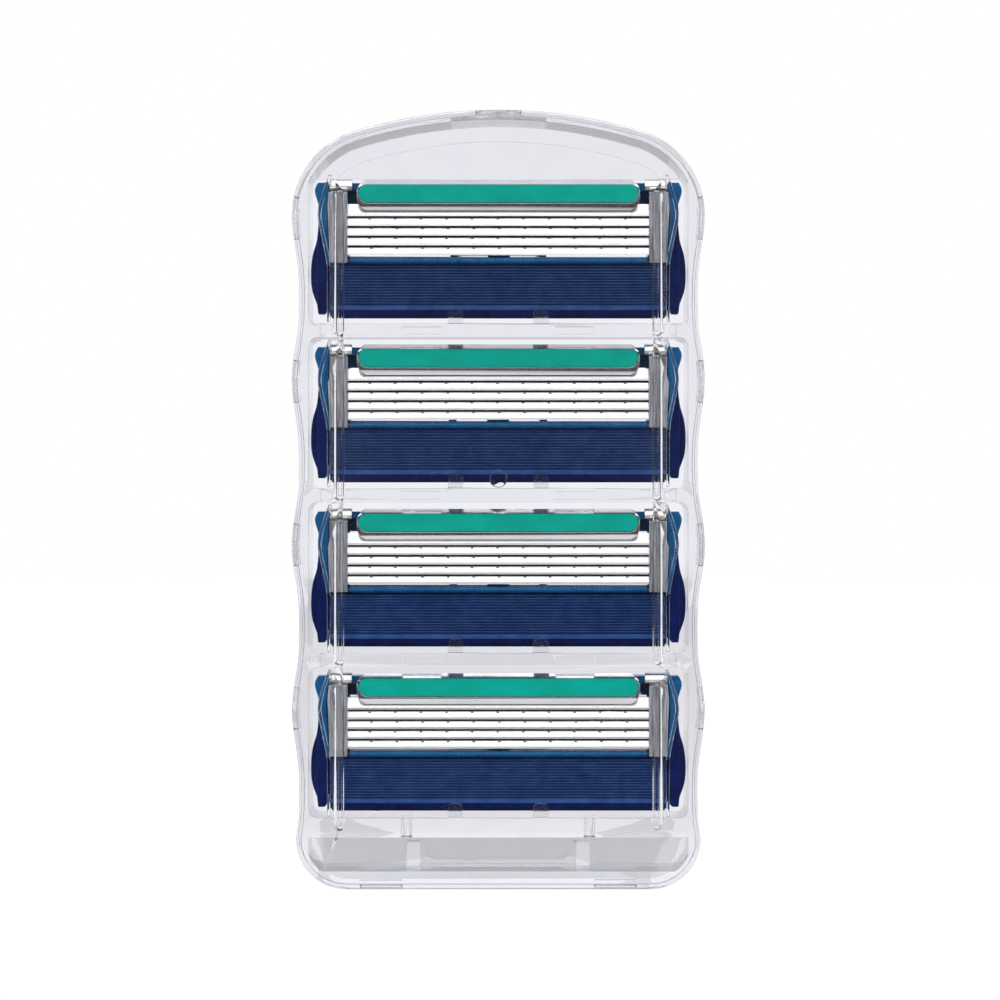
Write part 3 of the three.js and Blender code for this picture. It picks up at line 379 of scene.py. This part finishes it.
for n in range(1, CARTRIDGES + 1):
    piece = softened_copy(
        f"cartridge_{n}_guard", f"guard_{n}_rubber", 0.1 * MM, segments=3, skip=is_fin_edge
    )
    piece.data.materials.append(guard_rubber)
    piece.data.materials.append(fin_tip_painted_highlight)
    guard_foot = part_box(f"cartridge_{n}_guard")[0].z
    # the fins' forward faces take the painted highlight
    for face in piece.data.polygons:
        among_fins = COMB_FOOT < face.center.z - guard_foot < COMB_TOP and is_in_comb(face.center.x)
        if face.normal.y < -FACING and among_fins:
            face.material_index = 1
    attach(piece, f"cartridge_{n}")
    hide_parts(f"cartridge_{n}_guard")


# ---------------------------------------------------------------- blades
# Five thin ground blades, each spot-welded to a bent steel support that slides in the frame's slots.
# A row of weld marks shows on the face of each blade but the top one.

def blade_steel_finish():
    """Ground and coated razor steel, polished along its length."""
    material, tree, shader = new_finish("blade_steel")
    shader.inputs["Metallic"].default_value = 1.0
    grain = grain_in(tree, 2600.0, (0.12, 1.0, 3.0))
    tree.links.new(
        tinted(tree, grain.outputs["Fine"], (0.78, 0.78, 0.77), (0.88, 0.88, 0.87)),
        shader.inputs["Base Color"],
    )
    tree.links.new(ranged(tree, grain.outputs["Broad"], 0.2, 0.34), shader.inputs["Roughness"])
    bumped(tree, shader, grain.outputs["Fine"], 0.12, 0.006 * MM)
    return material


def weld_and_shade_steel(name, dark, light):
    """Dark rough steel: the weld spots' own darkening, and painted shade in the gap under the next blade's
    edge.
    """
    material, tree, shader = new_finish(name)
    grain = grain_in(tree, 9000.0)
    tree.links.new(tinted(tree, grain.outputs["Fine"], dark, light), shader.inputs["Base Color"])
    tree.links.new(ranged(tree, grain.outputs["Broad"], 0.45, 0.6), shader.inputs["Roughness"])
    return material


blade_steel = blade_steel_finish()
weld_mark = weld_and_shade_steel("weld_mark", (0.03, 0.03, 0.032), (0.09, 0.088, 0.09))
# painted shade: a near-black band high on each lower blade's face, standing for the shadow in the gap under
# the blade above
gap_painted_shade = weld_and_shade_steel("gap_painted_shade", (0.006, 0.006, 0.006), (0.02, 0.019, 0.019))
BLADES = 5
BLADE_TILT = math.radians(21.5)
ON_THE_EDGE = 1e-6
FACE_ON = 0.99  # cosine to the way the blade's face looks
WELDS = 11
WELD_PITCH = 2.76 * MM
WELD_STAGGER = 0.09 * MM
WELD_RADIUS = 0.16 * MM
WELD_SQUASH = 0.55  # height of a spot as a share of its width
WELD_PROUD = 0.012 * MM
WELD_UP_THE_BLADE = 0.8 * MM
SHADE_BAND_FROM = 0.93 * MM
BEVEL_WIDTH = 0.24 * MM
BEVEL_BACK = 0.035 * MM


def up_the_blade(corner, distance, proud=0.0):
    """A point on a blade's face, measured up from its cutting edge and out from the face."""
    y = corner.y + distance * math.sin(BLADE_TILT) - proud * math.cos(BLADE_TILT)
    z = corner.z + distance * math.cos(BLADE_TILT) + proud * math.sin(BLADE_TILT)
    return y, z


def add_weld(shape, corner, x):
    """One weld spot: a low flattened dome on the face of the blade."""
    spot = bmesh.ops.create_uvsphere(shape, u_segments=10, v_segments=5, radius=WELD_RADIUS)
    for v in spot["verts"]:
        across, up, out = v.co
        y, z = up_the_blade(corner, WELD_UP_THE_BLADE + WELD_SQUASH * up, out * WELD_PROUD / WELD_RADIUS)
        v.co = Vector((x + across, y, z))
    for f in {f for v in spot["verts"] for f in v.link_faces}:
        f.material_index = 1


def split_across(shape, corner, distance, up):
    """Cuts a new edge all along a blade, at a distance up from its cutting edge."""
    y, z = up_the_blade(corner, distance)
    bmesh.ops.bisect_plane(
        shape,
        geom=shape.verts[:] + shape.edges[:] + shape.faces[:],
        plane_co=(0.0, y, z),
        plane_no=up,
    )
    return Vector((0.0, y, z))


def welded_blade(n, m):
    """One blade on its support, with its row of welds and a band of painted shade on its face under the edge
    of the blade above it.
    """
    node = f"cartridge_{n}_blade_{m}"
    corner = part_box(node)[0]
    shape = cad_shape(node)
    up = Vector((0.0, math.sin(BLADE_TILT), math.cos(BLADE_TILT)))
    shade_band_foot = split_across(shape, corner, SHADE_BAND_FROM, up)
    split_across(shape, corner, BEVEL_WIDTH, up)
    for v in shape.verts:
        if abs(v.co.y - corner.y) < ON_THE_EDGE and abs(v.co.z - corner.z) < ON_THE_EDGE:
            v.co.y += BEVEL_BACK
    shape.normal_update()
    face_out = Vector((0.0, -math.cos(BLADE_TILT), math.sin(BLADE_TILT)))
    # on every blade but the top, the face above the split is painted shade
    for face in shape.faces:
        in_painted_shade = (face.calc_center_median() - shade_band_foot).dot(up) > 0
        on_face = face.normal.dot(face_out) > FACE_ON
        face.material_index = 2 if in_painted_shade and on_face and m > 1 else 0
    if m > 1:
        stagger = WELD_STAGGER if m % 2 else -WELD_STAGGER
        for i in range(WELDS):
            add_weld(shape, corner, (i - (WELDS - 1) / 2) * WELD_PITCH + stagger)
    piece = finished(shape, f"blade_{n}_{m}_steel", 20)
    for finish in (blade_steel, weld_mark, gap_painted_shade):
        piece.data.materials.append(finish)
    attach(piece, node)
    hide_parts(node)


for n in range(1, CARTRIDGES + 1):
    for m in range(1, BLADES + 1):
        welded_blade(n, m)


# ---------------------------------------------------------------- caps
# The bright carrier above the blades, moulded in plastic and metallised in a vacuum. It sits in the top of
# the frame with the strip pressed into its face.

def bright_metallised():
    """Vacuum-metallised plastic, almost a mirror."""
    material, tree, shader = new_finish("bright_metallised")
    shader.inputs["Metallic"].default_value = 1.0
    grain = grain_in(tree, 1500.0)
    tree.links.new(
        tinted(tree, grain.outputs["Broad"], (0.86, 0.86, 0.87), (0.95, 0.95, 0.95)),
        shader.inputs["Base Color"],
    )
    tree.links.new(ranged(tree, grain.outputs["Fine"], 0.08, 0.18), shader.inputs["Roughness"])
    bumped(tree, shader, grain.outputs["Broad"], 0.2, 0.02 * MM)
    return material


cap_finish = bright_metallised()
for n in range(1, CARTRIDGES + 1):
    piece = softened_copy(f"cartridge_{n}_cap", f"cap_{n}_carrier", 0.07 * MM, segments=3)
    piece.data.materials.append(cap_finish)
    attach(piece, f"cartridge_{n}")
    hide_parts(f"cartridge_{n}_cap")


# ---------------------------------------------------------------- lubricating strips
# The green bar of dry lubricant that swells and glides when wet. It is extruded, cut to length with round
# ends and pressed into its seat in the cap.

def strip_compound():
    """A dry waxy polymer with a fine chalky grain drawn out along its length."""
    material, tree, shader = new_finish("strip_compound")
    grain = grain_in(tree, 6000.0, (0.5, 1.0, 1.0))
    tree.links.new(
        tinted(tree, grain.outputs["Broad"], (0.0, 0.58, 0.43), (0.0, 0.68, 0.52)),
        shader.inputs["Base Color"],
    )
    tree.links.new(ranged(tree, grain.outputs["Fine"], 0.42, 0.6), shader.inputs["Roughness"])
    shader.inputs["Specular IOR Level"].default_value = 0.1
    bumped(tree, shader, grain.outputs["Fine"], 0.5, 0.02 * MM)
    return material


strip_green = strip_compound()
for n in range(1, CARTRIDGES + 1):
    piece = softened_copy(f"cartridge_{n}_strip", f"strip_{n}_bar", 0.06 * MM, segments=3)
    piece.data.materials.append(strip_green)
    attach(piece, f"cartridge_{n}")
    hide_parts(f"cartridge_{n}_strip")


# ---------------------------------------------------------------- end clips
# A band of soft aluminium folded round each end of the frame: brushed along its length, with a bright
# rolled top beside the cap. Its tails are crimped behind the frame and the trimmer.

def brushed_aluminium():
    """Aluminium strip with drawn lines along the band."""
    material, tree, shader = new_finish("brushed_aluminium")
    shader.inputs["Metallic"].default_value = 1.0
    grain = grain_in(tree, 9000.0, (1.0, 0.06, 0.03))
    tree.links.new(
        tinted(tree, grain.outputs["Fine"], (0.36, 0.36, 0.39), (0.8, 0.8, 0.84), 0.42, 0.58),
        shader.inputs["Base Color"],
    )
    tree.links.new(ranged(tree, grain.outputs["Broad"], 0.34, 0.48), shader.inputs["Roughness"])
    bumped(tree, shader, grain.outputs["Fine"], 0.4, 0.01 * MM)
    return material


def rolled_aluminium():
    """The same strip where the roll has burnished it."""
    material, tree, shader = new_finish("rolled_aluminium")
    shader.inputs["Metallic"].default_value = 1.0
    grain = grain_in(tree, 5000.0, (0.2, 1.0, 1.0))
    tree.links.new(
        tinted(tree, grain.outputs["Fine"], (0.62, 0.61, 0.6), (0.86, 0.85, 0.84)),
        shader.inputs["Base Color"],
    )
    tree.links.new(ranged(tree, grain.outputs["Broad"], 0.1, 0.22), shader.inputs["Roughness"])
    bumped(tree, shader, grain.outputs["Broad"], 0.5, 0.02 * MM)
    return material


clip_aluminium = brushed_aluminium()
clip_roll = rolled_aluminium()
ROLL_HEIGHT = 1.3 * MM
for n in range(1, CARTRIDGES + 1):
    for side in ("left", "right"):
        piece = softened_copy(
            f"cartridge_{n}_clip_{side}", f"clip_{n}_{side}_band", 0.07 * MM, segments=3
        )
        piece.data.materials.append(clip_aluminium)
        piece.data.materials.append(clip_roll)
        roll_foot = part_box(f"cartridge_{n}_clip_{side}")[1].z - ROLL_HEIGHT
        for face in piece.data.polygons:
            face.material_index = 1 if face.center.z > roll_foot else 0
        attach(piece, f"cartridge_{n}")
        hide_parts(f"cartridge_{n}_clip_{side}")


# ---------------------------------------------------------------- trimmers
# A comb of darker blue plastic behind the cap, with one narrow steel blade let into it for edging. The
# tails of the end clips hold it on the frame.

trimmer_plastic = moulded_plastic("trimmer_plastic", (0.008, 0.075, 0.2), (0.014, 0.11, 0.27), 0.35)
for n in range(1, CARTRIDGES + 1):
    carrier = softened_copy(f"cartridge_{n}_trimmer_carrier", f"trimmer_{n}_comb", 0.07 * MM)
    carrier.data.materials.append(trimmer_plastic)
    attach(carrier, f"cartridge_{n}")
    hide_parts(f"cartridge_{n}_trimmer_carrier")
    narrow_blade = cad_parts[f"cartridge_{n}_trimmer_blade"].data
    narrow_blade.materials.clear()
    narrow_blade.materials.append(blade_steel)


# ---------------------------------------------------------------- connectors
# The yoke that a handle docks into: a blue moulding with a square socket between two arms. The arms snap
# onto the frame's pins, and it swings on them.

connector_plastic = moulded_plastic(
    "connector_plastic", (0.008, 0.10, 0.27), (0.016, 0.15, 0.36), 0.34
)
for n in range(1, CARTRIDGES + 1):
    piece = softened_copy(f"cartridge_{n}_connector", f"connector_{n}_yoke", 0.12 * MM, segments=3)
    piece.data.materials.append(connector_plastic)
    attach(piece, f"connector_{n}")
    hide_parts(f"cartridge_{n}_connector")


# ---------------------------------------------------------------- stage
# A plain pale floor of backlit paper, three softboxes and a pale room with a dark screen round the lens.
# A long lens stands square to the clear front.

FLOOR_RADIUS = 2.4
FLOOR_DROP = 0.15 * MM
SHADE_FROM_Y = -0.06  # the paper darkens from here towards the screen round the lens
SHADE_TO_Y = -0.14
SHADED_PAPER = 0.04
FLOOR_GLOW = 0.82  # share of the floor's brightness that is backlight, which keeps it seamless


def studio_floor():
    """A disc of backlit white paper."""
    shape = bmesh.new()
    bmesh.ops.create_circle(shape, cap_ends=True, radius=FLOOR_RADIUS, segments=96)
    bmesh.ops.translate(shape, verts=shape.verts, vec=(0.0, 0.0, -FLOOR_DROP))
    floor = finished(shape, "floor")
    material, tree, shader = new_finish("floor_paper")
    grain = grain_in(tree, 60.0)
    place = tree.nodes.new("ShaderNodeTexCoord")
    parts = tree.nodes.new("ShaderNodeSeparateXYZ")
    tree.links.new(place.outputs["Object"], parts.inputs[0])
    near = ranged(tree, parts.outputs["Y"], SHADED_PAPER, 1.0, SHADE_TO_Y, SHADE_FROM_Y)
    paper = tree.nodes.new("ShaderNodeMix")
    paper.data_type = "RGBA"
    paper.blend_type = "MULTIPLY"
    paper.inputs["Factor"].default_value = 1.0
    tree.links.new(
        tinted(tree, grain.outputs["Broad"], (0.90, 0.90, 0.90), (0.92, 0.92, 0.92)),
        paper.inputs["A"],
    )
    tree.links.new(near, paper.inputs["B"])
    tree.links.new(paper.outputs["Result"], shader.inputs["Base Color"])
    shader.inputs["Roughness"].default_value = 0.9
    shader.inputs["Specular IOR Level"].default_value = 0.0
    glow = node_in(tree, "ShaderNodeEmission", Color=(1.0, 1.0, 1.0, 1.0), Strength=1.22)
    straight = tree.nodes.new("ShaderNodeLightPath")
    share = node_in(tree, "ShaderNodeMath", operation="MULTIPLY")
    share.inputs[1].default_value = FLOOR_GLOW
    tree.links.new(straight.outputs["Is Camera Ray"], share.inputs[0])
    blend = tree.nodes.new("ShaderNodeMixShader")
    tree.links.new(share.outputs[0], blend.inputs["Fac"])
    tree.links.new(shader.outputs["BSDF"], blend.inputs[1])
    tree.links.new(glow.outputs["Emission"], blend.inputs[2])
    tree.links.new(blend.outputs["Shader"], surface_of(tree))
    floor.data.materials.append(material)


studio_floor()


def softbox(name, place, aim, width, height, power):
    """A rectangular soft light pointed at a spot."""
    lamp = bpy.data.lights.new(name, "AREA")
    lamp.shape = "RECTANGLE"
    lamp.size = width
    lamp.size_y = height
    lamp.energy = power
    holder = bpy.data.objects.new(name, lamp)
    holder.location = place
    holder.rotation_euler = (Vector(aim) - Vector(place)).to_track_quat("-Z", "Y").to_euler()
    bpy.context.scene.collection.objects.link(holder)


middle = (0.0, 0.0, 42 * MM)
softbox("front_top_softbox", (0.0, -0.75, 0.75), middle, width=1.4, height=0.5, power=3.2)
softbox("left_softbox", (-0.9, -0.5, 0.3), middle, width=0.3, height=0.8, power=1.2)
softbox("right_softbox", (0.9, -0.4, 0.3), middle, width=0.3, height=0.8, power=1.2)

world = bpy.data.worlds.new("studio")
bpy.context.scene.world = world
world.use_nodes = True
sky = world.node_tree
sky.nodes.clear()
sky_out = sky.nodes.new("ShaderNodeOutputWorld")
direction = sky.nodes.new("ShaderNodeTexCoord")
parts = sky.nodes.new("ShaderNodeSeparateXYZ")
sky.links.new(direction.outputs["Generated"], parts.inputs[0])


def sky_ramp(source, steps):
    """Brightness of the room along one axis: (position, brightness) steps joined smoothly."""
    place = node_in(sky, "ShaderNodeMapRange")
    place.inputs["From Min"].default_value = -1.0
    place.inputs["From Max"].default_value = 1.0
    sky.links.new(source, place.inputs["Value"])
    ramp = sky.nodes.new("ShaderNodeValToRGB")
    ramp.color_ramp.interpolation = "EASE"
    ends = ramp.color_ramp.elements
    while len(ends) < len(steps):
        ends.new(0.5)
    for element, (position, brightness) in zip(ends, steps):
        element.position = (position + 1.0) / 2.0
        element.color = (brightness, brightness, brightness, 1.0)
    sky.links.new(place.outputs["Result"], ramp.inputs["Fac"])
    return ramp.outputs["Color"]


# the dark screen round the lens, which the flat window mirrors, then the pale room from front to back
ROOM_STEPS = ((-1.0, 0.08), (-0.975, 0.1), (-0.9, 0.55), (-0.3, 0.85), (0.2, 1.0))
front_dark = sky_ramp(parts.outputs["Y"], ROOM_STEPS)
shade = node_in(sky, "ShaderNodeRGBToBW")
sky.links.new(front_dark, shade.inputs["Color"])
seen = sky.nodes.new("ShaderNodeBackground")
seen.inputs["Color"].default_value = (1.0, 1.0, 1.0, 1.0)
lighting = sky.nodes.new("ShaderNodeBackground")
lighting.inputs["Color"].default_value = (0.95, 0.95, 1.0, 1.0)
sky.links.new(shade.outputs["Val"], lighting.inputs["Strength"])
straight = sky.nodes.new("ShaderNodeLightPath")
choose = sky.nodes.new("ShaderNodeMixShader")
sky.links.new(straight.outputs["Is Camera Ray"], choose.inputs["Fac"])
sky.links.new(lighting.outputs[0], choose.inputs[1])
sky.links.new(seen.outputs[0], choose.inputs[2])
sky.links.new(choose.outputs[0], sky_out.inputs["Surface"])

CAMERA_ACROSS = 0.18 * MM
CAMERA_BACK = 595.6 * MM  # lens to the clear front
CAMERA_UP = 41.75 * MM
lens = bpy.data.cameras.new("camera")
lens.lens = 200.0
lens.clip_end = 20.0
camera = bpy.data.objects.new("camera", lens)
camera.location = (CAMERA_ACROSS, cad_box[0][1] - CAMERA_BACK, CAMERA_UP)
camera.rotation_euler = (math.radians(90.0), 0.0, 0.0)
bpy.context.scene.collection.objects.link(camera)
bpy.context.scene.camera = camera
bpy.context.scene.view_settings.view_transform = "Standard"
bpy.context.scene.cycles.max_bounces = 28
bpy.context.scene.cycles.transmission_bounces = 24
bpy.context.scene.cycles.transparent_max_bounces = 32
